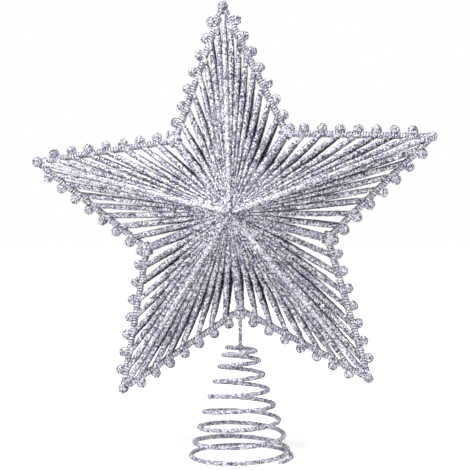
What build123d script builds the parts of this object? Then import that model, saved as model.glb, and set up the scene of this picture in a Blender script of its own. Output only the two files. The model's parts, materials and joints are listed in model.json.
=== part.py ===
"""Tree-topper star: a two-sided wire star strung with glittered cords, on a conical coil spring.

Millimetres. +Z is up and the front faces -Y. The spring stands on z = 0 with its axis on the Z axis.
"""

import math
import os

from build123d import *

# Star outline
ARM_COUNT = 5
TIP_RADIUS = 113.5  # star centre to where the axes of two outline wires meet at a tip
TIP_CUT = 2.1  # that the welded tip is ground back from there
NOTCH_RADIUS = 51.8  # star centre to the corner of the outline wires at a notch
OUTLINE_WIRE = 2.6  # diameter of the outline wire with its glitter
STAR_LEAN = 3.3  # degrees that the star leans to the left on its stem

# Cords, ribs and peak, the same on both faces
PEAK_HEIGHT = 25.0  # outline's plane to the point where the cords' axes meet
CORDS_PER_EDGE = 7
CORD_DIAMETER = 3.0
CORD_END_DIAMETER = 2.1  # where a cord is drawn tight over the outline wire
CORD_END_TAPER = 14.0
CORD_OVERHANG = 0.8
RIDGE_SETBACK = 4.5  # tip's corner to the end of the cord along the ridge
RIB_DIAMETER = 4.4
RIB_END_DIAMETER = 3.8
RIB_END_TAPER = 4.0
RIB_OVERHANG = 0.8
RIB_SEAT_ANGLE = 50.0  # from the middle of the star round to the rib's seat on the outline wire
PEAK_CAP_DIAMETER = 6.4
PEAK_CAP_RIM = 1.2
PEAK_CAP_POINT = 0.8  # diameter of the cap's blunt point
PEAK_CAP_ROOM = 0.4  # between the cap's side and the ends of the cords
SEAT_GAP = 0.06  # glue line between a cord or rib and what it sits on
FILL = 0.96  # share of the room between neighbours that the cords take where they crowd
SHORTEST_RUN = 0.01  # a straight run shorter than this is left out of a cord

# Edge beads
BEAD_DIAMETER = 5.4
BEAD_STANDOFF = 3.25  # outline wire's axis to a bead's centre, so that a groove in the bead hugs the wire
BEAD_WIRE = 0.7
BEAD_BORE_CLEARANCE = 0.1
BEAD_SEAT_GAP = 0.1
TIP_BEND_RADIUS = 2.5  # bend radius of the bead wire round a tip
NOTCH_BEND_RADIUS = 4.0  # bend radius of the bead wire at a notch
BEAD_WIRE_SETBACK = 5.0  # bottom notch's corner to each end of the bead wire

# Stem and its head
STEM_DIAMETER = 2.0
STEM_LENGTH = 20.9  # weld's centre to the bottom notch's corner
SADDLE_WIDTH = 3.2
SADDLE_WALL = 1.3
SADDLE_CLEARANCE = 0.3
SADDLE_REACH = 70.0  # degrees that the saddle reaches up each side of the outline wire
SADDLE_STEPS = 4  # corners on each side of the wedge that trims the saddle to that reach
WELD_DIAMETER = 4.0
WELD_CLEARANCE = 0.2

# Coil spring
SPRING_WIRE = 2.3
SPRING_TOP_RADIUS = 7.4
SPRING_BASE_RADIUS = 28.0
CONE_EASE = 0.25  # share by which the radius grows slower near both ends than on average
SPRING_TURNS = 8.6
SPRING_TOP_PITCH = 3.0
SPRING_PITCH = 8.2
PITCH_RAMP_TURNS = 2.25
CLOSING_TURNS = 0.75  # over which the pitch falls to nothing
LEVEL_TURNS = 0.35  # that lie flat at the bottom
TURN_LEAN = 4.0  # degrees that the hand-wound upper turns lean, front side up
LEAN_END_TURNS = 6.0  # below which the turns lie level
LEAN_FADE_TURNS = 1.25  # over which the lean fades out above that
FOOT_FLAT = 0.5  # depth of the flat that the bottom turn stands on
SAMPLES_PER_ARC = 24  # for measuring how near the coil comes to itself

ARM_NAMES = ("top", "right", "lower_right", "lower_left", "left")
NOTCH_NAMES = ("upper_right", "right", "bottom", "left", "upper_left")
BOTTOM_NOTCH = 2
FRONT = -1
BACK = 1
FACE_NAMES = {FRONT: "front", BACK: "back"}

os.makedirs("parts", exist_ok=True)

# Angles and offsets that follow from the outline
arm_step = 360.0 / ARM_COUNT
notch_angle = math.radians(arm_step / 2)
wire_radius = OUTLINE_WIRE / 2
tip = Vector(0, 0, TIP_RADIUS)
notch_direction = Vector(math.sin(notch_angle), 0, math.cos(notch_angle))
notch = notch_direction * NOTCH_RADIUS
edge_length = (notch - tip).length
tip_half = math.atan2(notch.X, TIP_RADIUS - notch.Z)
notch_half = tip_half + notch_angle
edge_distance = TIP_RADIUS * math.sin(tip_half)

# Where the spring, the weld, the stem and the star stand
active_turns = SPRING_TURNS - LEVEL_TURNS


def pitch_drop(turns):
    """Height lost from the top of the spring after so many turns."""
    ramp = min(turns, PITCH_RAMP_TURNS)
    drop = SPRING_TOP_PITCH * ramp + (SPRING_PITCH - SPRING_TOP_PITCH) * ramp**2 / (2 * PITCH_RAMP_TURNS)
    closing = active_turns - CLOSING_TURNS
    drop += SPRING_PITCH * max(0.0, min(turns, closing) - PITCH_RAMP_TURNS)
    late = max(0.0, min(turns, active_turns) - closing)
    return drop + SPRING_PITCH * (late - late**2 / (2 * CLOSING_TURNS))


foot_height = SPRING_WIRE / 2 - FOOT_FLAT
weld_height = foot_height + pitch_drop(SPRING_TURNS)
notch_height = weld_height + STEM_LENGTH
lean = math.radians(STAR_LEAN)
star_centre = Vector(-NOTCH_RADIUS * math.sin(lean), 0, notch_height + NOTCH_RADIUS * math.cos(lean))
star_place = Pos(star_centre.X, star_centre.Y, star_centre.Z) * Rot(0, -STAR_LEAN, 0)


def on_star(shape, arm=0):
    """A piece drawn on the upright top arm, turned to its own arm and set on the leaning star."""
    return star_place * Rot(0, arm * arm_step, 0) * shape


def save(name, solids):
    shape = solids[0] if len(solids) == 1 else Compound(children=solids)
    export_step(shape, f"parts/{name}.step")


# Outline: ten straight wires, mitred and welded at the tips and notches
edge_direction = (notch - tip).normalized()
edge_blank = Plane(tip - edge_direction * OUTLINE_WIRE * 2, z_dir=edge_direction) * Cylinder(
    wire_radius, edge_length + OUTLINE_WIRE * 4, align=(Align.CENTER, Align.CENTER, Align.MIN)
)
right_edge = split(edge_blank, bisect_by=Plane.YZ, keep=Keep.TOP)
right_edge = split(right_edge, bisect_by=Plane((0, 0, TIP_RADIUS - TIP_CUT), z_dir=(0, 0, 1)), keep=Keep.BOTTOM)
notch_plane = Plane((0, 0, 0), z_dir=(math.cos(notch_angle), 0, -math.sin(notch_angle)))
right_edge = split(right_edge, bisect_by=notch_plane, keep=Keep.BOTTOM)
left_edge = mirror(right_edge, about=Plane.YZ)
for arm, arm_name in enumerate(ARM_NAMES):
    save(f"outline_{arm_name}_arm_a", [on_star(left_edge, arm)])
    save(f"outline_{arm_name}_arm_b", [on_star(right_edge, arm)])


# Cords and ribs: round, running to one point at the peak, each thinned there to its share of the room
def tapered(apex, seat, half_angle, diameter, end_diameter, end_taper, overhang):
    """A convex round bar on the line from apex to seat: a cone, a straight run and a thinned end."""
    axis = seat - apex
    start = PEAK_CAP_DIAMETER / 2 + PEAK_CAP_ROOM
    end = axis.length + overhang
    shoulder = end - end_taper
    slope = math.tan(half_angle)
    full = min(diameter / 2, slope * shoulder)
    points = [(0, start), (slope * start, start), (full, full / slope)]
    if shoulder - full / slope > SHORTEST_RUN:
        points.append((full, shoulder))
    points += [(min(end_diameter / 2, full), end), (0, end)]
    profile = make_face(Polyline(*[(x, 0, z) for x, z in points], close=True))
    bar = revolve(profile, axis=Axis.Z, revolution_arc=360)
    return Plane(apex, z_dir=axis.normalized()) * bar


def spread(apex, first, second):
    """Angle at the apex between the lines to two seats."""
    return math.radians((first - apex).get_angle(second - apex))


seat_slope = math.hypot(1.0, PEAK_HEIGHT / edge_distance)
cord_rise = (wire_radius + CORD_END_DIAMETER / 2 + SEAT_GAP) * seat_slope
rib_seat = wire_radius / math.sin(notch_half) + RIB_END_DIAMETER / 2 + SEAT_GAP
rib_turn = math.radians(RIB_SEAT_ANGLE)
rib_share = RIB_DIAMETER / (RIB_DIAMETER + CORD_DIAMETER)

for face in (FRONT, BACK):
    apex = Vector(0, face * PEAK_HEIGHT, 0)
    rise = Vector(0, face * cord_rise, 0)
    ridge_seat = Vector(0, 0, TIP_RADIUS - RIDGE_SETBACK) + rise
    rib_end = notch_direction * (NOTCH_RADIUS - rib_seat * math.cos(rib_turn))
    rib_end += Vector(0, face * rib_seat * math.sin(rib_turn), 0)
    seats = [ridge_seat]
    for k in range(1, CORDS_PER_EDGE + 1):
        seats.append(tip + (notch - tip) * (k / (CORDS_PER_EDGE + 1)) + rise)
    seats.append(rib_end)
    gaps = [spread(apex, a, b) for a, b in zip(seats, seats[1:])]
    right_cords = []
    for k in range(1, CORDS_PER_EDGE + 1):
        outer = gaps[k - 1] / 2
        inner = gaps[k] / 2 if k < CORDS_PER_EDGE else gaps[k] * (1 - rib_share)
        right_cords.append(
            tapered(apex, seats[k], FILL * min(outer, inner), CORD_DIAMETER, CORD_END_DIAMETER,
                    CORD_END_TAPER, CORD_OVERHANG)
        )
    ridge = tapered(apex, ridge_seat, FILL * gaps[0] / 2, CORD_DIAMETER, CORD_END_DIAMETER,
                    CORD_END_TAPER, 0.0)
    left_cords = [mirror(cord, about=Plane.YZ) for cord in right_cords]
    rib = tapered(apex, rib_end, FILL * gaps[-1] * rib_share, RIB_DIAMETER, RIB_END_DIAMETER,
                  RIB_END_TAPER, RIB_OVERHANG)
    cap_height = PEAK_HEIGHT * PEAK_CAP_DIAMETER / 2 / math.hypot(edge_distance, PEAK_HEIGHT)
    cap = Cone(PEAK_CAP_DIAMETER / 2, PEAK_CAP_POINT / 2, cap_height, align=(Align.CENTER, Align.CENTER, Align.MIN))
    cap += Cylinder(PEAK_CAP_DIAMETER / 2, PEAK_CAP_RIM, align=(Align.CENTER, Align.CENTER, Align.MAX))
    cap = Plane(Vector(0, face * (PEAK_HEIGHT - cap_height), 0), z_dir=(0, face, 0)) * cap
    face_name = FACE_NAMES[face]
    save(f"{face_name}_peak_cap", [on_star(cap)])
    for arm, arm_name in enumerate(ARM_NAMES):
        save(f"{face_name}_cords_{arm_name}_arm",
             [on_star(cord, arm) for cord in left_cords + [ridge] + right_cords])
    for arm, notch_name in enumerate(NOTCH_NAMES):
        save(f"{face_name}_rib_{notch_name}", [on_star(rib, arm)])


# Beads grooved to sit on the outline, and the thin wire beside it that holds them on
wire_offset = wire_radius + BEAD_SEAT_GAP + BEAD_WIRE / 2
bead_bore = BEAD_WIRE / 2 + BEAD_BORE_CLEARANCE
tip_bead_radius = TIP_RADIUS - TIP_CUT + BEAD_SEAT_GAP + BEAD_DIAMETER / 2
notch_bead_radius = NOTCH_RADIUS + BEAD_STANDOFF / math.sin(notch_half)
wire_tip = TIP_RADIUS + wire_offset / math.sin(tip_half)
wire_notch = NOTCH_RADIUS + wire_offset / math.sin(notch_half)

# The wire's two ends stop short of the stem, on either side of the bottom notch
outward = Vector(math.cos(tip_half), 0, math.sin(tip_half))
wire_end = notch - edge_direction * BEAD_WIRE_SETBACK + outward * wire_offset


def turned(point, arm):
    """A point of the upright top arm turned round to another arm."""
    turn = math.radians(arm * arm_step)
    return Vector(point.X * math.cos(turn) + point.Z * math.sin(turn), point.Y,
                  point.Z * math.cos(turn) - point.X * math.sin(turn))


corners = [turned(Vector(-wire_end.X, 0, wire_end.Z), BOTTOM_NOTCH + 1)]
bends = []
for step in range(ARM_COUNT):
    arm = BOTTOM_NOTCH + 1 + step
    corners.append(turned(Vector(0, 0, wire_tip), arm))
    bends.append(TIP_BEND_RADIUS)
    if step < ARM_COUNT - 1:
        corners.append(turned(notch_direction * wire_notch, arm))
        bends.append(NOTCH_BEND_RADIUS)
corners.append(turned(wire_end, BOTTOM_NOTCH))
bead_path = FilletPolyline(*corners, radius=bends)
bead_wire = sweep(Plane(bead_path @ 0, z_dir=bead_path % 0) * Circle(BEAD_WIRE / 2), path=bead_path)
save("bead_wire", [on_star(bead_wire)])

bead_ball = Sphere(BEAD_DIAMETER / 2)
edge_groove = Plane(tip, z_dir=edge_direction) * Cylinder(
    wire_radius + BEAD_SEAT_GAP, edge_length, align=(Align.CENTER, Align.CENTER, Align.MIN)
)
edge_bore = Plane(tip + outward * wire_offset, z_dir=edge_direction) * Cylinder(
    bead_bore, edge_length, align=(Align.CENTER, Align.CENTER, Align.MIN)
)
right_beads = []
for k in range(1, CORDS_PER_EDGE + 1):
    centre = tip + (notch - tip) * (k / (CORDS_PER_EDGE + 1)) + outward * BEAD_STANDOFF
    right_beads.append(Pos(centre.X, centre.Y, centre.Z) * bead_ball - edge_groove - edge_bore)
left_beads = [mirror(bead, about=Plane.YZ) for bead in right_beads]
tip_bend_centre = wire_tip - TIP_BEND_RADIUS / math.sin(tip_half)
tip_bore = Plane((0, 0, tip_bend_centre), z_dir=(0, 1, 0)) * Torus(TIP_BEND_RADIUS, bead_bore)
tip_bead = Pos(0, 0, tip_bead_radius) * bead_ball - tip_bore
notch_bend_centre = notch_direction * (wire_notch + NOTCH_BEND_RADIUS / math.sin(notch_half))
notch_bore = Plane(notch_bend_centre, z_dir=(0, 1, 0)) * Torus(NOTCH_BEND_RADIUS, bead_bore)
notch_bead_centre = notch_direction * notch_bead_radius
notch_bead = Pos(notch_bead_centre.X, 0, notch_bead_centre.Z) * bead_ball - notch_bore
notch_bead = notch_bead - edge_groove - mirror(edge_groove, about=notch_plane)
for arm, arm_name in enumerate(ARM_NAMES):
    save(f"edge_beads_{arm_name}_arm",
         [on_star(bead, arm) for bead in left_beads + [tip_bead] + right_beads])
save("notch_beads", [on_star(notch_bead, arm) for arm in range(ARM_COUNT) if arm != BOTTOM_NOTCH])

# Stem: a wire whose saddle head hugs the outline at the bottom notch from below
stem_foot = weld_height + WELD_DIAMETER / 2 + WELD_CLEARANCE
groove = wire_radius + SADDLE_CLEARANCE
saddle_radius = groove + SADDLE_WALL
saddle = Cylinder(saddle_radius, SADDLE_WIDTH) - Cylinder(groove, SADDLE_WIDTH * 2)
reach = math.radians(SADDLE_REACH)
keep_points = [(0, 0)]
for step in range(-SADDLE_STEPS, SADDLE_STEPS + 1):
    angle = -math.pi / 2 + reach * step / SADDLE_STEPS
    keep_points.append((2 * saddle_radius * math.cos(angle), 2 * saddle_radius * math.sin(angle)))
wedge = extrude(make_face(Polyline(*keep_points, close=True)), amount=SADDLE_WIDTH, both=True)
saddle = Plane.YZ * (saddle & wedge)
for side in (-1, 1):
    leg = Vector(side * math.sin(notch_half), 0, -math.cos(notch_half))
    saddle -= Plane((0, 0, 0), z_dir=leg) * Cylinder(
        groove, SADDLE_WIDTH * 2, align=(Align.CENTER, Align.CENTER, Align.MIN)
    )
saddle = Pos(0, 0, notch_height) * Rot(0, -STAR_LEAN, 0) * saddle
shank_top = notch_height - groove - SADDLE_WALL / 2
shank = Pos(0, 0, stem_foot) * Cylinder(
    STEM_DIAMETER / 2, shank_top - stem_foot, align=(Align.CENTER, Align.CENTER, Align.MIN)
)
save("stem", [shank + saddle])

# Weld: the bead of metal that the stem stands on, at the middle of the spring's top turn
weld = Pos(0, 0, weld_height) * Sphere(WELD_DIAMETER / 2)
save("spring_weld", [weld])


# Coil spring: one wire, wound to the right, from the weld out and down to a level bottom turn
def spring_point(turns):
    """Wire centre after so many turns from the top."""
    angle = math.pi - 2 * math.pi * turns
    share = turns / SPRING_TURNS
    growth = share - CONE_EASE * math.sin(2 * math.pi * share) / (2 * math.pi)
    radius = SPRING_TOP_RADIUS + (SPRING_BASE_RADIUS - SPRING_TOP_RADIUS) * growth
    settle = max(0.0, min(1.0, (LEAN_END_TURNS - turns) / LEAN_FADE_TURNS))
    ease = settle * settle * (3 - 2 * settle)
    tilt = math.tan(math.radians(TURN_LEAN)) * ease
    x = radius * math.cos(angle)
    y = radius * math.sin(angle)
    return Vector(x, y, weld_height - pitch_drop(turns) - tilt * y)


def spring_tangent(turns):
    step = 1e-4
    ahead = spring_point(min(turns + step, SPRING_TURNS))
    behind = spring_point(max(turns - step, 0.0))
    return (ahead - behind).normalized()


def biarc(start, start_tangent, end, end_tangent):
    """Two tangent arcs between two points with given tangents."""
    chord = end - start
    both = start_tangent + end_tangent
    a = 2 * (start_tangent.dot(end_tangent) - 1)
    b = -2 * chord.dot(both)
    c = chord.dot(chord)
    if abs(a) < 1e-9:
        d = -c / b
    else:
        d = (-b - math.sqrt(b * b - 4 * a * c)) / (2 * a)
        if d < 0:
            d = (-b + math.sqrt(b * b - 4 * a * c)) / (2 * a)
    joint = (start + start_tangent * d + end - end_tangent * d) * 0.5
    first = Edge.make_tangent_arc(start, start_tangent, joint)
    second = Edge.make_tangent_arc(joint, first % 1, end)
    return [first, second]


quarters = int(round(SPRING_TURNS * 4))
stations = [quarter * SPRING_TURNS / quarters for quarter in range(quarters + 1)]
first_point = spring_point(0.0)
first_tangent = spring_tangent(0.0)
# The wire's end curls in from the top turn to the axis in half a turn of half the radius
hook_start = Vector(0, 0, weld_height)
hook_tangent = Vector(0, -1, 0)
edges = biarc(hook_start, hook_tangent, first_point, first_tangent)
for a, b in zip(stations, stations[1:]):
    edges += biarc(spring_point(a), spring_tangent(a), spring_point(b), spring_tangent(b))
spring_path = Wire(edges)
coil = sweep(Plane(hook_start, z_dir=hook_tangent) * Circle(SPRING_WIRE / 2), path=spring_path)
coil -= Pos(0, 0, weld_height) * Sphere(WELD_DIAMETER / 2 + WELD_CLEARANCE)
coil -= Box(4 * SPRING_BASE_RADIUS, 4 * SPRING_BASE_RADIUS, SPRING_WIRE,
            align=(Align.CENTER, Align.CENTER, Align.MAX))
save("coil_spring", [coil])

# Least gap of the spring to itself, on points of the swept path a few wire widths apart or more
samples = []
travelled = 0.0
for edge in edges:
    for step in range(SAMPLES_PER_ARC):
        share = step / SAMPLES_PER_ARC
        samples.append((travelled + edge.length * share, tuple(edge @ share)))
    travelled += edge.length
samples.append((travelled, tuple(spring_path @ 1)))
least = travelled
for i, (place, point) in enumerate(samples):
    for other_place, other in samples[i + 1:]:
        if other_place - place > 4 * SPRING_WIRE:
            least = min(least, math.dist(point, other))
print("coil_spring solids", len(coil.solids()), "least gap to itself", round(least - SPRING_WIRE, 2))
tightest = min(edge.radius for edge in edges if edge.geom_type == GeomType.CIRCLE)
print("tightest bend of the spring's wire", round(tightest, 2))
print("weld height", round(weld_height, 3), "notch height", round(notch_height, 3))
print("star centre", round(star_centre.X, 3), round(star_centre.Z, 3))
print("edge length", round(edge_length, 2), "tip half angle", round(math.degrees(tip_half), 2))
print("tip bead radius", round(tip_bead_radius, 2), "tip bend centre", round(tip_bend_centre, 2))
print("solids in a bead", [len(bead.solids()) for bead in (right_beads[0], tip_bead, notch_bead)])
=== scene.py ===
"""Looks of the tree-topper star: glittered cords, ribs and beads on a wire outline, a stem and a spring."""

import json
import math
import random

import bmesh
import bpy
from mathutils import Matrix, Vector
from mathutils.bvhtree import BVHTree


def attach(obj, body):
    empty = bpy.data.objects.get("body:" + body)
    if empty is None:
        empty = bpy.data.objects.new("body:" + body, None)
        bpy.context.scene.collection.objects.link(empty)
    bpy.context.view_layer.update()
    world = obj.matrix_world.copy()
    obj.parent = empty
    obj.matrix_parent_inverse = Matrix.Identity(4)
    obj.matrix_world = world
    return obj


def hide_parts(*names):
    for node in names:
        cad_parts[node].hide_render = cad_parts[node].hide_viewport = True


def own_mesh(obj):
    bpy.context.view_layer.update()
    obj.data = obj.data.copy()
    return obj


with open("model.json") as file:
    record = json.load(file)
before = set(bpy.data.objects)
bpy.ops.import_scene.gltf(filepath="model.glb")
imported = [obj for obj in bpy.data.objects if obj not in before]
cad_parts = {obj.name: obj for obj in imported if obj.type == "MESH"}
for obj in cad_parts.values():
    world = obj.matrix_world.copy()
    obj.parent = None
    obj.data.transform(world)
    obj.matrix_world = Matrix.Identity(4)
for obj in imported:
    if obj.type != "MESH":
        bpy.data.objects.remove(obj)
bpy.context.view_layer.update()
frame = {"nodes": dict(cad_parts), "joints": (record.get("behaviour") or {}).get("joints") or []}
scene = bpy.context.scene
nodes = frame["nodes"]

# Outline: ten straight steel wires, mitred and welded into a five-pointed star. The whole frame was
# brushed with glue and rolled in lavender-silver glitter, so no bare wire shows.
clumps_per_flake = 0.12
clump_contrast = 0.12
clump_detail = 3
clump_range = (0.3, 0.7)
dark_end = 0.08
light_end = 0.92
least_rough = 0.2
most_rough = 0.55
step_strength = 0.8
step_share = 0.5


def glitter_coat(name, grain, dark, middle, light, metal, lift):
    """A glued coat of flakes: each cell of the pattern is a flake with its own shade, gloss and tilt."""
    finish = bpy.data.materials.new(name)
    finish.use_nodes = True
    tree = finish.node_tree
    shader = tree.nodes["Principled BSDF"]
    shader.inputs["Metallic"].default_value = metal
    place = tree.nodes.new("ShaderNodeTexCoord")
    cells = tree.nodes.new("ShaderNodeTexVoronoi")
    cells.inputs["Scale"].default_value = 1 / grain
    tree.links.new(place.outputs["Object"], cells.inputs["Vector"])
    parts = tree.nodes.new("ShaderNodeSeparateColor")
    tree.links.new(cells.outputs["Color"], parts.inputs["Color"])
    clumps = tree.nodes.new("ShaderNodeTexNoise")
    clumps.inputs["Scale"].default_value = clumps_per_flake / grain
    clumps.inputs["Detail"].default_value = clump_detail
    tree.links.new(place.outputs["Object"], clumps.inputs["Vector"])
    drift = tree.nodes.new("ShaderNodeMapRange")
    drift.inputs["From Min"].default_value = clump_range[0]
    drift.inputs["From Max"].default_value = clump_range[1]
    drift.inputs["To Min"].default_value = -clump_contrast + lift
    drift.inputs["To Max"].default_value = clump_contrast + lift
    tree.links.new(clumps.outputs["Fac"], drift.inputs["Value"])
    shade = tree.nodes.new("ShaderNodeMath")
    shade.operation = "ADD"
    shade.use_clamp = True
    tree.links.new(parts.outputs["Red"], shade.inputs[0])
    tree.links.new(drift.outputs["Result"], shade.inputs[1])
    tones = tree.nodes.new("ShaderNodeValToRGB")
    tones.color_ramp.elements[0].position = dark_end
    tones.color_ramp.elements[0].color = (*dark, 1)
    tones.color_ramp.elements[1].position = light_end
    tones.color_ramp.elements[1].color = (*light, 1)
    tones.color_ramp.elements.new(0.5).color = (*middle, 1)
    tree.links.new(shade.outputs["Value"], tones.inputs["Fac"])
    tree.links.new(tones.outputs["Color"], shader.inputs["Base Color"])
    gloss = tree.nodes.new("ShaderNodeMapRange")
    gloss.inputs["To Min"].default_value = least_rough
    gloss.inputs["To Max"].default_value = most_rough
    tree.links.new(parts.outputs["Green"], gloss.inputs["Value"])
    tree.links.new(gloss.outputs["Result"], shader.inputs["Roughness"])
    step = tree.nodes.new("ShaderNodeBump")
    step.inputs["Strength"].default_value = step_strength
    step.inputs["Distance"].default_value = grain * step_share
    tree.links.new(parts.outputs["Blue"], step.inputs["Height"])
    tree.links.new(step.outputs["Normal"], shader.inputs["Normal"])
    return finish


wire_glitter = glitter_coat("glitter_on_wire", grain=0.0007, dark=(0.05, 0.045, 0.08),
                            middle=(0.35, 0.34, 0.47), light=(0.92, 0.92, 0.98), metal=0.12, lift=0.0)
arm_names = ("top", "right", "lower_right", "lower_left", "left")
outline_nodes = []
for arm_name in arm_names:
    outline_nodes += [f"outline_{arm_name}_arm_a", f"outline_{arm_name}_arm_b"]
for name in outline_nodes:
    nodes[name].material_slots[0].material = wire_glitter


# Loose top flakes: thin hexagons of cut film that stand out of the glue at all angles on every piece.
# They break up the outlines and catch the light. Most are silver; the rest are lavender or very dark,
# the dark ones painted shade for flakes turned away from the light.
def flake_film(name, colour, metal, rough):
    film = bpy.data.materials.new(name)
    film.use_nodes = True
    shader = film.node_tree.nodes["Principled BSDF"]
    shader.inputs["Base Color"].default_value = (*colour, 1)
    shader.inputs["Metallic"].default_value = metal
    shader.inputs["Roughness"].default_value = rough
    return film


films = (
    flake_film("flake_silver", (0.95, 0.95, 1.00), metal=0.10, rough=0.20),
    flake_film("flake_lavender", (0.42, 0.40, 0.64), metal=0.10, rough=0.30),
    flake_film("flake_painted_shade", (0.012, 0.01, 0.04), metal=0.0, rough=0.5),
)
flake_least_scale = 0.65
flake_most_scale = 1.2
last_lot = 99
usual_mix = (57, 60)
# Fewer painted-shade flakes, for the ridges and edges that are painted lighter
less_painted_shade_mix = (68, 78)

flake_tree = bpy.data.node_groups.new("Glitter flakes", "GeometryNodeTree")
face = flake_tree.interface
face.new_socket("Geometry", in_out="INPUT", socket_type="NodeSocketGeometry")
for label, kind in (("Flakes per square metre", "NodeSocketFloat"), ("Flake size", "NodeSocketFloat"),
                    ("Tilt", "NodeSocketFloat"), ("Seed", "NodeSocketInt"),
                    ("Lavender from", "NodeSocketInt"), ("Painted shade from", "NodeSocketInt")):
    face.new_socket(label, in_out="INPUT", socket_type=kind)
face.new_socket("Geometry", in_out="OUTPUT", socket_type="NodeSocketGeometry")
make = flake_tree.nodes.new
join = flake_tree.links.new
given = make("NodeGroupInput")
scatter = make("GeometryNodeDistributePointsOnFaces")
join(given.outputs["Geometry"], scatter.inputs["Mesh"])
join(given.outputs["Flakes per square metre"], scatter.inputs["Density"])
join(given.outputs["Seed"], scatter.inputs["Seed"])
hexagon = make("GeometryNodeMeshCircle")
hexagon.fill_type = "NGON"
hexagon.inputs["Vertices"].default_value = 6
hexagon.inputs["Radius"].default_value = 0.5
lean_low = make("ShaderNodeCombineXYZ")
lean_high = make("ShaderNodeCombineXYZ")
lean_high.inputs["Z"].default_value = math.tau
backward = make("ShaderNodeMath")
backward.operation = "MULTIPLY"
backward.inputs[1].default_value = -1
join(given.outputs["Tilt"], backward.inputs[0])
for axis in ("X", "Y"):
    join(backward.outputs["Value"], lean_low.inputs[axis])
    join(given.outputs["Tilt"], lean_high.inputs[axis])
lean = make("FunctionNodeRandomValue")
lean.data_type = "FLOAT_VECTOR"
join(lean_low.outputs["Vector"], lean.inputs["Min"])
join(lean_high.outputs["Vector"], lean.inputs["Max"])
join(given.outputs["Seed"], lean.inputs["Seed"])
lean_turn = make("FunctionNodeEulerToRotation")
join(lean.outputs[0], lean_turn.inputs["Euler"])
facing = make("FunctionNodeRotateRotation")
facing.rotation_space = "LOCAL"
join(scatter.outputs["Rotation"], facing.inputs["Rotation"])
join(lean_turn.outputs["Rotation"], facing.inputs["Rotate By"])
width = make("FunctionNodeRandomValue")
width.data_type = "FLOAT"
width.inputs[2].default_value = flake_least_scale
width.inputs[3].default_value = flake_most_scale
join(given.outputs["Seed"], width.inputs["Seed"])
scale = make("ShaderNodeMath")
scale.operation = "MULTIPLY"
join(width.outputs[1], scale.inputs[0])
join(given.outputs["Flake size"], scale.inputs[1])
stuck = make("GeometryNodeInstanceOnPoints")
join(scatter.outputs["Points"], stuck.inputs["Points"])
join(hexagon.outputs["Mesh"], stuck.inputs["Instance"])
join(facing.outputs["Rotation"], stuck.inputs["Rotation"])
join(scale.outputs["Value"], stuck.inputs["Scale"])
lot = make("FunctionNodeRandomValue")
lot.data_type = "INT"
lot.inputs[4].default_value = 0
lot.inputs[5].default_value = last_lot
join(given.outputs["Seed"], lot.inputs["Seed"])
mark = make("GeometryNodeStoreNamedAttribute")
mark.data_type = "INT"
mark.domain = "INSTANCE"
mark.inputs["Name"].default_value = "film"
join(stuck.outputs["Instances"], mark.inputs["Geometry"])
join(lot.outputs[2], mark.inputs["Value"])
real = make("GeometryNodeRealizeInstances")
join(mark.outputs["Geometry"], real.inputs["Geometry"])
film_lot = make("GeometryNodeInputNamedAttribute")
film_lot.data_type = "INT"
film_lot.inputs["Name"].default_value = "film"
wear = make("GeometryNodeSetMaterial")
wear.inputs["Material"].default_value = films[0]
join(real.outputs["Geometry"], wear.inputs["Geometry"])
for film, least in ((films[1], "Lavender from"), (films[2], "Painted shade from")):
    above = make("FunctionNodeCompare")
    above.data_type = "INT"
    above.operation = "GREATER_EQUAL"
    join(given.outputs[least], above.inputs[3])
    join(film_lot.outputs["Attribute"], above.inputs[2])
    later = make("GeometryNodeSetMaterial")
    later.inputs["Material"].default_value = film
    join(wear.outputs["Geometry"], later.inputs["Geometry"])
    join(above.outputs["Result"], later.inputs["Selection"])
    wear = later
result = make("NodeGroupOutput")
join(wear.outputs["Geometry"], result.inputs["Geometry"])


def grown(piece, tree, values):
    """The plain mesh that a node tree makes of a piece, with the modifier taken off again."""
    modifier = piece.modifiers.new("grow", "NODES")
    modifier.node_group = tree
    for socket in tree.interface.items_tree:
        if socket.in_out == "INPUT" and socket.name in values:
            modifier[socket.identifier] = values[socket.name]
    bpy.context.view_layer.update()
    graph = bpy.context.evaluated_depsgraph_get()
    mesh = bpy.data.meshes.new_from_object(piece.evaluated_get(graph), preserve_all_data_layers=True,
                                           depsgraph=graph)
    piece.modifiers.remove(modifier)
    for attribute in [a.name for a in mesh.attributes if a.name in ("film", "thickness")]:
        mesh.attributes.remove(mesh.attributes[attribute])
    return mesh


weld_distance = 1e-6


def flakes_over(name, sources, body, per_square_metre, size, tilt, seed, mix=usual_mix):
    """A piece of loose flakes over the surfaces of other pieces, riding on their body.

    Of a hundred flakes, those before the first number of the mix are silver and those from the second
    on are very dark, as painted shade. Faces with the second finish, a thin coat with painted shade, get no
    flakes.
    """
    form = bmesh.new()
    for source in sources:
        form.from_mesh(source.data)
    bare = [patch for patch in form.faces if patch.material_index > 0]
    bmesh.ops.delete(form, geom=bare, context="FACES")
    bmesh.ops.remove_doubles(form, verts=form.verts, dist=weld_distance)
    ground = bpy.data.objects.new(name + "_ground", bpy.data.meshes.new(name + "_ground"))
    form.to_mesh(ground.data)
    form.free()
    scene.collection.objects.link(ground)
    mesh = grown(ground, flake_tree, {"Flakes per square metre": per_square_metre, "Flake size": size,
                                      "Tilt": tilt, "Seed": seed, "Lavender from": mix[0],
                                      "Painted shade from": mix[1]})
    bpy.data.objects.remove(ground)
    piece = bpy.data.objects.new(name, mesh)
    scene.collection.objects.link(piece)
    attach(piece, body)
    return piece


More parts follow.
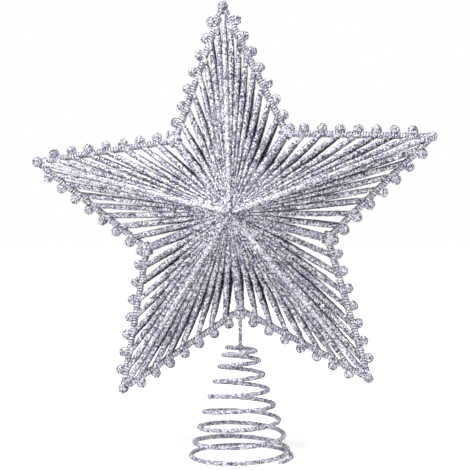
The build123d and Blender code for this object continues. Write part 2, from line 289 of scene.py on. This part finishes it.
def leave_room(flakes, others, room):
    """Takes off the flakes that would rub on pieces of another body when the joint between them moves."""
    surfaces = [BVHTree.FromPolygons([vertex.co for vertex in other.data.vertices],
                                     [polygon.vertices for polygon in other.data.polygons])
                for other in others]
    form = bmesh.new()
    form.from_mesh(flakes.data)
    rubbed = [flake for flake in form.faces
              if any(surface.find_nearest(flake.calc_center_median(), room)[0] is not None
                     for surface in surfaces)]
    bmesh.ops.delete(form, geom=rubbed, context="FACES")
    form.to_mesh(flakes.data)
    form.free()


# Fewer dark flakes on the outline: painted light that lifts the shade falling on the edges
outline_flakes = flakes_over("outline_flakes", [nodes[name] for name in outline_nodes], "star",
                             per_square_metre=2.2e6, size=0.00078, tilt=0.7, seed=3,
                             mix=less_painted_shade_mix)

# Cords: straight glittered cords, seven to an edge, drawn tight from the peak to the outline wire,
# where their ends lie under the edge's winding. Each is thick in its free length, thins at the wire
# and is squeezed between its neighbours near the peak.
cord_glitter = glitter_coat("glitter_on_cord", grain=0.0008, dark=(0.02, 0.018, 0.05),
                            middle=(0.37, 0.36, 0.49), light=(1.00, 1.00, 1.00), metal=0.10, lift=0.0)
# The star turns on the outline wire at its bottom notch: that hinge's line is the leaning star's own
# left-right direction, and the star's middle is one notch radius above it.
hinge = next(joint for joint in frame["joints"] if joint["name"] == "star_nod")
star_right = Vector(hinge["axis"]).normalized()
star_up = Vector((-star_right.z, 0, star_right.x))
tip_radius = 0.1135
notch_radius = 0.0518
star_centre = Vector(hinge["pos_m"]) + star_up * notch_radius
arm_step = math.radians(72)


def on_star(across, depth, along, arm):
    """A point of the upright top arm, turned round to another arm of the leaning star."""
    turn = arm * arm_step
    right = across * math.cos(turn) + along * math.sin(turn)
    up = along * math.cos(turn) - across * math.sin(turn)
    return star_centre + star_right * right + star_up * up + Vector((0, depth, 0))


cords_per_edge = 7
cord_steps = 12
cord_start = 0.02
cord_wander = 0.07
cord_bow = (-0.0002, 0.0004)
cord_spacing = 0.0185
cord_spacing_growth = 0.055
cord_squeeze = 0.92
peak_height = 0.025
cord_radius = 0.00138
cord_end_radius = 0.00115
cord_end_taper = 0.009
cord_least_radius = 0.0006
seat_rise = 0.0009
edge_across = notch_radius * math.sin(arm_step / 2)
edge_along = notch_radius * math.cos(arm_step / 2)
tip_half = math.atan2(edge_across, tip_radius - edge_along)

cord_tree = bpy.data.node_groups.new("Glittered cords", "GeometryNodeTree")
face = cord_tree.interface
face.new_socket("Geometry", in_out="INPUT", socket_type="NodeSocketGeometry")
for label, kind in (("Sides", "NodeSocketInt"), ("Unevenness", "NodeSocketFloat"),
                    ("Lump length", "NodeSocketFloat"), ("Coat", "NodeSocketMaterial")):
    face.new_socket(label, in_out="INPUT", socket_type=kind)
face.new_socket("Geometry", in_out="OUTPUT", socket_type="NodeSocketGeometry")
make = cord_tree.nodes.new
join = cord_tree.links.new
given = make("NodeGroupInput")
path = make("GeometryNodeMeshToCurve")
join(given.outputs["Geometry"], path.inputs["Mesh"])
ring = make("GeometryNodeCurvePrimitiveCircle")
ring.inputs["Radius"].default_value = 1
join(given.outputs["Sides"], ring.inputs["Resolution"])
thickness = make("GeometryNodeInputNamedAttribute")
thickness.data_type = "FLOAT"
thickness.inputs["Name"].default_value = "thickness"
finer = make("ShaderNodeMath")
finer.operation = "DIVIDE"
finer.inputs[0].default_value = 1
join(given.outputs["Lump length"], finer.inputs[1])
lumps = make("ShaderNodeTexNoise")
lumps.noise_dimensions = "3D"
lumps.inputs["Detail"].default_value = 2
where = make("GeometryNodeInputPosition")
join(where.outputs["Position"], lumps.inputs["Vector"])
join(finer.outputs["Value"], lumps.inputs["Scale"])
swing = make("ShaderNodeMath")
swing.operation = "SUBTRACT"
swing.inputs[1].default_value = 0.5
join(lumps.outputs[0], swing.inputs[0])
uneven = make("ShaderNodeMath")
uneven.operation = "MULTIPLY_ADD"
uneven.inputs[2].default_value = 1
join(swing.outputs["Value"], uneven.inputs[0])
join(given.outputs["Unevenness"], uneven.inputs[1])
radius = make("ShaderNodeMath")
radius.operation = "MULTIPLY"
join(thickness.outputs["Attribute"], radius.inputs[0])
join(uneven.outputs["Value"], radius.inputs[1])
tube = make("GeometryNodeCurveToMesh")
tube.inputs["Fill Caps"].default_value = True
join(path.outputs["Curve"], tube.inputs["Curve"])
join(ring.outputs["Curve"], tube.inputs["Profile Curve"])
join(radius.outputs["Value"], tube.inputs["Scale"])
smooth = make("GeometryNodeSetShadeSmooth")
join(tube.outputs["Mesh"], smooth.inputs["Geometry"])
real = make("GeometryNodeRealizeInstances")
join(smooth.outputs["Geometry"], real.inputs["Geometry"])
wear = make("GeometryNodeSetMaterial")
join(real.outputs["Geometry"], wear.inputs["Geometry"])
join(given.outputs["Coat"], wear.inputs["Material"])
result = make("NodeGroupOutput")
join(wear.outputs["Geometry"], result.inputs["Geometry"])


def cord_piece(name, runs, sides, unevenness, lump, coat):
    """Round cord along runs of (point, radius), as one plain mesh."""
    points = []
    links = []
    radii = []
    for run in runs:
        first = len(points)
        points += [point for point, _ in run]
        radii += [radius for _, radius in run]
        links += [(first + i, first + i + 1) for i in range(len(run) - 1)]
    mesh = bpy.data.meshes.new(name + "_path")
    mesh.from_pydata(points, links, [])
    mesh.attributes.new("thickness", "FLOAT", "POINT").data.foreach_set("value", radii)
    piece = bpy.data.objects.new(name, mesh)
    scene.collection.objects.link(piece)
    piece.data = grown(piece, cord_tree, {"Sides": sides, "Unevenness": unevenness, "Lump length": lump,
                                          "Coat": coat})
    return piece


# Painted shade: the inside of the star lies in shadow, so inner faces get a dark coat, thinner there too.
inner_thin_coat_painted_shade = glitter_coat("thin_coat_painted_shade_inside", grain=0.0008, dark=(0.01, 0.009, 0.025),
                             middle=(0.10, 0.095, 0.15), light=(0.40, 0.39, 0.48), metal=0.10, lift=-0.05)
inward_from = -0.25


def paint_shade_inside(piece, front):
    """Faces turned into the star get a thin, dark coat: partly less glue, mostly painted shade."""
    piece.data.materials.append(inner_thin_coat_painted_shade)
    for patch in piece.data.polygons:
        if patch.normal.y * front < inward_from:
            patch.material_index = 1


chance = random.Random(11)
for side_name, front in (("front", -1), ("back", 1)):
    for arm, arm_name in enumerate(arm_names):
        runs = []
        for hand in (-1, 1):
            for k in range(1, cords_per_edge + 1):
                share = (k + chance.uniform(-cord_wander, cord_wander)) / (cords_per_edge + 1)
                seat_across = hand * edge_across * share
                seat_along = tip_radius + (edge_along - tip_radius) * share
                reach = math.hypot(seat_across, seat_along, peak_height - seat_rise)
                spacing = cord_spacing + cord_spacing_growth * (share**2)
                bow = chance.uniform(*cord_bow)
                run = []
                for step in range(cord_steps + 1):
                    t = cord_start + (1 - cord_start) * step / cord_steps
                    depth = peak_height + (seat_rise - peak_height) * t + bow * math.sin(math.pi * t)
                    squeezed = max(cord_least_radius, cord_squeeze * spacing * reach * t)
                    pulled = cord_radius - (cord_radius - cord_end_radius) * max(
                        0.0, 1 - (1 - t) * reach / cord_end_taper)
                    run.append((on_star(seat_across * t, front * depth, seat_along * t, arm),
                                min(squeezed, pulled)))
                runs.append(run)
        name = f"{side_name}_cords_{arm_name}_arm"
        cords = cord_piece(name + "_strung", runs, sides=8, unevenness=0.35, lump=0.003, coat=cord_glitter)
        # Inner faces get the painted-shade coat
        paint_shade_inside(cords, front)
        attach(cords, "star")
        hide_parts(name)
        flakes_over(name + "_flakes", [cords], "star", per_square_metre=1.8e6,
                    size=0.00078, tilt=1.1, seed=100 + arm + 10 * front)

# Ridge cords: one cord along the middle of each arm on either face, laid over the others so that it
# stands proud and catches the light. It is glued at the peak and at the tip; its paler coat and fewer
# dark flakes are a painted highlight along the ridge.
ridge_radius = 0.0013
ridge_narrowing = 0.07
ridge_rise = 0.0008
ridge_setback = 0.0045
ridge_painted_highlight = glitter_coat("painted_highlight_on_ridge", grain=0.0007, dark=(0.08, 0.075, 0.13),
                             middle=(0.50, 0.49, 0.61), light=(1.0, 1.0, 1.0), metal=0.10, lift=0.05)
runs = []
for front in (-1, 1):
    for arm in range(len(arm_names)):
        run = []
        for step in range(cord_steps + 1):
            t = cord_start + (1 - cord_start) * step / cord_steps
            along = (tip_radius - ridge_setback) * t
            depth = peak_height + (seat_rise - peak_height) * t + ridge_rise * (1 - t)
            run.append((on_star(0, front * depth, along, arm),
                        min(ridge_radius, max(cord_least_radius, ridge_narrowing * along))))
        runs.append(run)
ridges = cord_piece("ridge_cords", runs, sides=8, unevenness=0.3, lump=0.003, coat=ridge_painted_highlight)
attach(ridges, "star")
flakes_over("ridge_flakes", [ridges], "star", per_square_metre=1.6e6, size=0.00085,
            tilt=0.6, seed=131, mix=less_painted_shade_mix)

# Valley ribs: one thick rod from each notch up to the peak on either face, glued to the outline's
# corner and coated with the same glitter. The peak caps close the point where ribs and cords meet.
rib_radius = 0.0021
rib_end_radius = 0.0020
rib_narrowing = 0.087
rib_end_reach = 0.0512
rib_end_rise = 0.0014
rib_start = 0.03
rib_names = ("upper_right", "right", "bottom", "left", "upper_left")
ribs = []
for side_name, front in (("front", -1), ("back", 1)):
    for arm, rib_name in enumerate(rib_names):
        run = []
        for step in range(cord_steps + 1):
            t = rib_start + (1 - rib_start) * step / cord_steps
            depth = peak_height + (rib_end_rise - peak_height) * t
            along = rib_end_reach * t
            squeezed = max(cord_least_radius, rib_narrowing * math.hypot(along, peak_height - depth))
            full = rib_end_radius if step == cord_steps else rib_radius
            run.append((on_star(along * math.sin(arm_step / 2), front * depth,
                                along * math.cos(arm_step / 2), arm), min(squeezed, full)))
        name = f"{side_name}_rib_{rib_name}"
        rib = cord_piece(name + "_glued", [run], sides=10, unevenness=0.25, lump=0.004, coat=wire_glitter)
        # Inner faces get the painted-shade coat
        paint_shade_inside(rib, front)
        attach(rib, "star")
        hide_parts(name)
        ribs.append(rib)
caps = [nodes["front_peak_cap"], nodes["back_peak_cap"]]
for cap in caps:
    cap.material_slots[0].material = wire_glitter
flakes_over("rib_flakes", ribs + caps, "star", per_square_metre=1.8e6, size=0.00078,
            tilt=1.1, seed=5)

# Edge beads: small round beads strung on a thin wire along the outline, one over each cord's end and
# one at each tip and notch, dipped in glue and glitter like the rest.
bead_glitter = glitter_coat("glitter_on_bead", grain=0.0006, dark=(0.07, 0.065, 0.11),
                            middle=(0.36, 0.35, 0.46), light=(0.92, 0.92, 0.96), metal=0.12, lift=0.0)
bead_nodes = [name for name in nodes if "_beads" in name]
for name in bead_nodes:
    nodes[name].material_slots[0].material = bead_glitter
nodes["bead_wire"].material_slots[0].material = wire_glitter
flakes_over("bead_flakes", [nodes[name] for name in bead_nodes], "star",
            per_square_metre=1.7e6, size=0.0009, tilt=0.8, seed=21)

# Winding: glittered thread wound along every edge ties the bead wire and the cords' ends to the
# outline. It runs over the wire and between the beads, so that the edge looks thick and lumpy.
thread_radius = 0.0005
winding_pitch = 0.0015
winding_middle = 0.00035
winding_width = 0.0016
winding_depth = 0.0018
winding_start = 0.006
winding_steps = 8
winding_wander = 0.12
edge_length = math.hypot(edge_across, tip_radius - edge_along)
runs = []
for arm in range(len(arm_names)):
    for hand in (-1, 1):
        run = []
        turns = int((edge_length - winding_start) / winding_pitch)
        for step in range(turns * winding_steps + 1):
            angle = math.tau * step / winding_steps
            reached = winding_start + winding_pitch * step / winding_steps
            swell = 1 + chance.uniform(-winding_wander, winding_wander)
            out = winding_middle + winding_width * swell * math.sin(angle)
            depth = winding_depth * swell * math.cos(angle)
            across = hand * (reached * math.sin(tip_half) + out * math.cos(tip_half))
            along = tip_radius - reached * math.cos(tip_half) + out * math.sin(tip_half)
            run.append((on_star(across, depth, along, arm), thread_radius))
        runs.append(run)
# The thread's coat is paler than the wire's: painted light that lifts the shade falling on the edges.
thread_glitter_painted_light = glitter_coat("thread_glitter_painted_light", grain=0.0007, dark=(0.16, 0.15, 0.24),
                              middle=(0.66, 0.65, 0.78), light=(1.0, 1.0, 1.0), metal=0.10, lift=0.05)
winding = cord_piece("edge_winding", runs, sides=5, unevenness=0.3, lump=0.001, coat=thread_glitter_painted_light)
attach(winding, "star")
flakes_over("winding_flakes", [winding], "star", per_square_metre=0.8e6, size=0.00085,
            tilt=0.5, seed=23, mix=less_painted_shade_mix)

# Stem and lashings: a short steel wire with a saddle head that hugs the outline from below, and a
# thick lashing of glittered thread round the head, in which the star can still turn. The other notches
# are lashed too. The bead of weld below the stem joins it to the middle of the spring's top turn.
nodes["stem"].material_slots[0].material = wire_glitter
nodes["spring_weld"].material_slots[0].material = wire_glitter
lashing_turns = 8
lashing_steps = 10
lashing_end_swell = 0.82
lashing_middle_swell = 0.18
lashing_thread = 0.0006
stem_lashing_drop = 0.0028
stem_lashing_radius = 0.0025
stem_lashing_width = 0.0050
notch_lashing_drop = 0.0008
notch_lashing_radius = 0.0028
notch_lashing_width = 0.0070
bottom_notch = 2
rib_swing_room = 0.0015
saddle_room = 0.0012
spring_give_room = 0.0013


def lashing_run(arm, drop, radius, width):
    """Thread wound round the outline's corner at the notch after an arm, moved outward by the drop."""
    notch_turn = arm_step / 2
    run = []
    for step in range(lashing_turns * lashing_steps + 1):
        share = step / (lashing_turns * lashing_steps)
        angle = math.tau * step / lashing_steps
        swell = radius * (lashing_end_swell + lashing_middle_swell * math.sin(math.pi * share))
        away = notch_radius + drop - swell * math.sin(angle)
        aside = (share - 0.5) * width
        across = away * math.sin(notch_turn) + aside * math.cos(notch_turn)
        along = away * math.cos(notch_turn) - aside * math.sin(notch_turn)
        run.append((on_star(across, swell * math.cos(angle), along, arm), lashing_thread))
    return run


stem_run = lashing_run(bottom_notch, stem_lashing_drop, stem_lashing_radius, stem_lashing_width)
lashing = cord_piece("stem_lashing", [stem_run], sides=6, unevenness=0.3, lump=0.001, coat=wire_glitter)
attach(lashing, "stem")
stem_flakes = flakes_over("stem_flakes", [nodes["stem"], lashing], "stem",
                          per_square_metre=2.2e6, size=0.00075, tilt=0.5, seed=31)
bottom_ribs = [rib for rib in ribs if "_bottom_" in rib.name]
leave_room(stem_flakes, bottom_ribs + [nodes["bead_wire"]], rib_swing_room)
leave_room(outline_flakes, [nodes["stem"], lashing], saddle_room)
corner_runs = [lashing_run(arm, notch_lashing_drop, notch_lashing_radius, notch_lashing_width)
               for arm in range(len(arm_names)) if arm != bottom_notch]
corners = cord_piece("notch_lashings", corner_runs, sides=6, unevenness=0.3, lump=0.001,
                     coat=thread_glitter_painted_light)
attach(corners, "star")
flakes_over("corner_flakes", [corners], "star", per_square_metre=1.2e6, size=0.00085,
            tilt=0.5, seed=35, mix=less_painted_shade_mix)
weld_flakes = flakes_over("weld_flakes", [nodes["spring_weld"]], "weld",
                          per_square_metre=2.2e6, size=0.00075, tilt=0.5, seed=33)
leave_room(weld_flakes, [nodes["coil_spring"]], spring_give_room)

# Coil spring: one glittered steel wire wound right-handed into a cone, open at the bottom for the tip
# of a tree. Its bottom turn lies level. The real coil shortens when the star is pressed down; here it
# is one rigid piece on the spring's body.
form = bmesh.new()
form.from_mesh(nodes["coil_spring"].data)
bmesh.ops.remove_doubles(form, verts=form.verts, dist=weld_distance)
for patch in form.faces:
    patch.smooth = True
coil = bpy.data.objects.new("glittered_coil", bpy.data.meshes.new("glittered_coil"))
form.to_mesh(coil.data)
form.free()
coil.data.materials.append(wire_glitter)
scene.collection.objects.link(coil)
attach(coil, "spring")
coil_flakes = flakes_over("coil_flakes", [coil], "spring", per_square_metre=2.2e6,
                          size=0.00075, tilt=0.5, seed=41)
# Flakes under the bottom turn are pressed flat, just above the floor
flake_floor = 0.00005
for vertex in coil_flakes.data.vertices:
    vertex.co.z = max(vertex.co.z, flake_floor)
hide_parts("coil_spring")
for piece in (coil, coil_flakes):
    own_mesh(piece)

# Floor and surroundings: a plain matt white floor, and white all round. To the camera the floor glows
# a little, less near the object so that its soft shadow shows there. Other rays get a share of that
# glow, which lights the star from below as a white table does.
def background_seen(tree):
    """One for rays that see the background itself, straight, in metal or through glass, and else none."""
    sight = tree.nodes.new("ShaderNodeLightPath")
    seen = sight.outputs["Is Camera Ray"]
    for kind in ("Is Glossy Ray", "Is Transmission Ray"):
        either = tree.nodes.new("ShaderNodeMath")
        either.operation = "MAXIMUM"
        tree.links.new(seen, either.inputs[0])
        tree.links.new(sight.outputs[kind], either.inputs[1])
        seen = either.outputs["Value"]
    return seen


floor_reach = 6
floor_white = 0.92
glow_near = 0.64
glow_far = 0.96
glow_near_distance = 0.2
glow_far_distance = 0.9
bounce_share = 0.32
sky_on_object = 0.07
floor_mesh = bpy.data.meshes.new("floor")
floor_mesh.from_pydata([(-floor_reach, -floor_reach, 0), (floor_reach, -floor_reach, 0),
                        (floor_reach, floor_reach, 0), (-floor_reach, floor_reach, 0)],
                       [], [(0, 1, 2, 3)])
floor = bpy.data.objects.new("floor", floor_mesh)
scene.collection.objects.link(floor)
floor_finish = bpy.data.materials.new("white_floor")
floor_finish.use_nodes = True
tree = floor_finish.node_tree
shader = tree.nodes["Principled BSDF"]
shader.inputs["Base Color"].default_value = (floor_white, floor_white, floor_white, 1)
shader.inputs["Roughness"].default_value = 1.0
shader.inputs["Specular IOR Level"].default_value = 0.0
shader.inputs["Emission Color"].default_value = (1, 1, 1, 1)
spot = tree.nodes.new("ShaderNodeTexCoord")
away = tree.nodes.new("ShaderNodeVectorMath")
away.operation = "LENGTH"
tree.links.new(spot.outputs["Object"], away.inputs[0])
brighter = tree.nodes.new("ShaderNodeMapRange")
brighter.inputs["From Min"].default_value = glow_near_distance
brighter.inputs["From Max"].default_value = glow_far_distance
brighter.inputs["To Min"].default_value = glow_near
brighter.inputs["To Max"].default_value = glow_far
tree.links.new(away.outputs["Value"], brighter.inputs["Value"])
share = tree.nodes.new("ShaderNodeMapRange")
share.inputs["To Min"].default_value = bounce_share
tree.links.new(background_seen(tree), share.inputs["Value"])
glow = tree.nodes.new("ShaderNodeMath")
glow.operation = "MULTIPLY"
tree.links.new(share.outputs["Result"], glow.inputs[0])
tree.links.new(brighter.outputs["Result"], glow.inputs[1])
tree.links.new(glow.outputs["Value"], shader.inputs["Emission Strength"])
floor_mesh.materials.append(floor_finish)

world = bpy.data.worlds.new("white_surroundings")
scene.world = world
world.use_nodes = True
tree = world.node_tree
sky = tree.nodes["Background"]
sky.inputs["Color"].default_value = (1, 1, 1, 1)
level = tree.nodes.new("ShaderNodeMapRange")
level.inputs["To Min"].default_value = sky_on_object
level.inputs["To Max"].default_value = 1.0
tree.links.new(background_seen(tree), level.inputs["Value"])
tree.links.new(level.outputs["Result"], sky.inputs["Strength"])


# Lamps: soft round lamps, all a metre from the star. The key stands in front at the upper left, the
# second hangs above, and a weak one behind keeps the back from going dark.
def soft_lamp(name, towards, distance, size, power):
    lamp = bpy.data.lights.new(name, "AREA")
    lamp.shape = "DISK"
    lamp.size = size
    lamp.energy = power
    stand = bpy.data.objects.new(name, lamp)
    stand.location = star_centre + Vector(towards).normalized() * distance
    stand.rotation_euler = (star_centre - stand.location).to_track_quat("-Z", "Y").to_euler()
    scene.collection.objects.link(stand)


soft_lamp("key", (-0.46, -0.76, 0.70), distance=1.0, size=0.30, power=6.9)
soft_lamp("top", (-0.10, -0.30, 1.0), distance=1.0, size=0.40, power=7.4)
soft_lamp("rear", (0.30, 0.80, 0.60), distance=1.0, size=0.40, power=2.0)

# Camera: level with the star's middle and a little to the right of it, as in the photograph, which is
# 470 pixels square and has the star's middle above its own.
image_pixels = 470
star_column = 234.8
star_row = 214.0
sensor = 36
azimuth = math.radians(5.66)
elevation = math.radians(-0.54)
distance = 0.580
pixels_per_metre = 1833.1
back = Vector((math.sin(azimuth) * math.cos(elevation), -math.cos(azimuth) * math.cos(elevation),
               math.sin(elevation)))
camera = bpy.data.cameras.new("camera")
camera.sensor_width = sensor
camera.lens = sensor * pixels_per_metre * distance / image_pixels
camera.shift_x = (image_pixels / 2 - star_column) / image_pixels
camera.shift_y = (star_row - image_pixels / 2) / image_pixels
camera.clip_start = 0.01
eye = bpy.data.objects.new("camera", camera)
eye.location = star_centre + back * distance
eye.rotation_euler = (-back).to_track_quat("-Z", "Y").to_euler()
scene.collection.objects.link(eye)
scene.camera = eye
scene.view_settings.view_transform = "Standard"
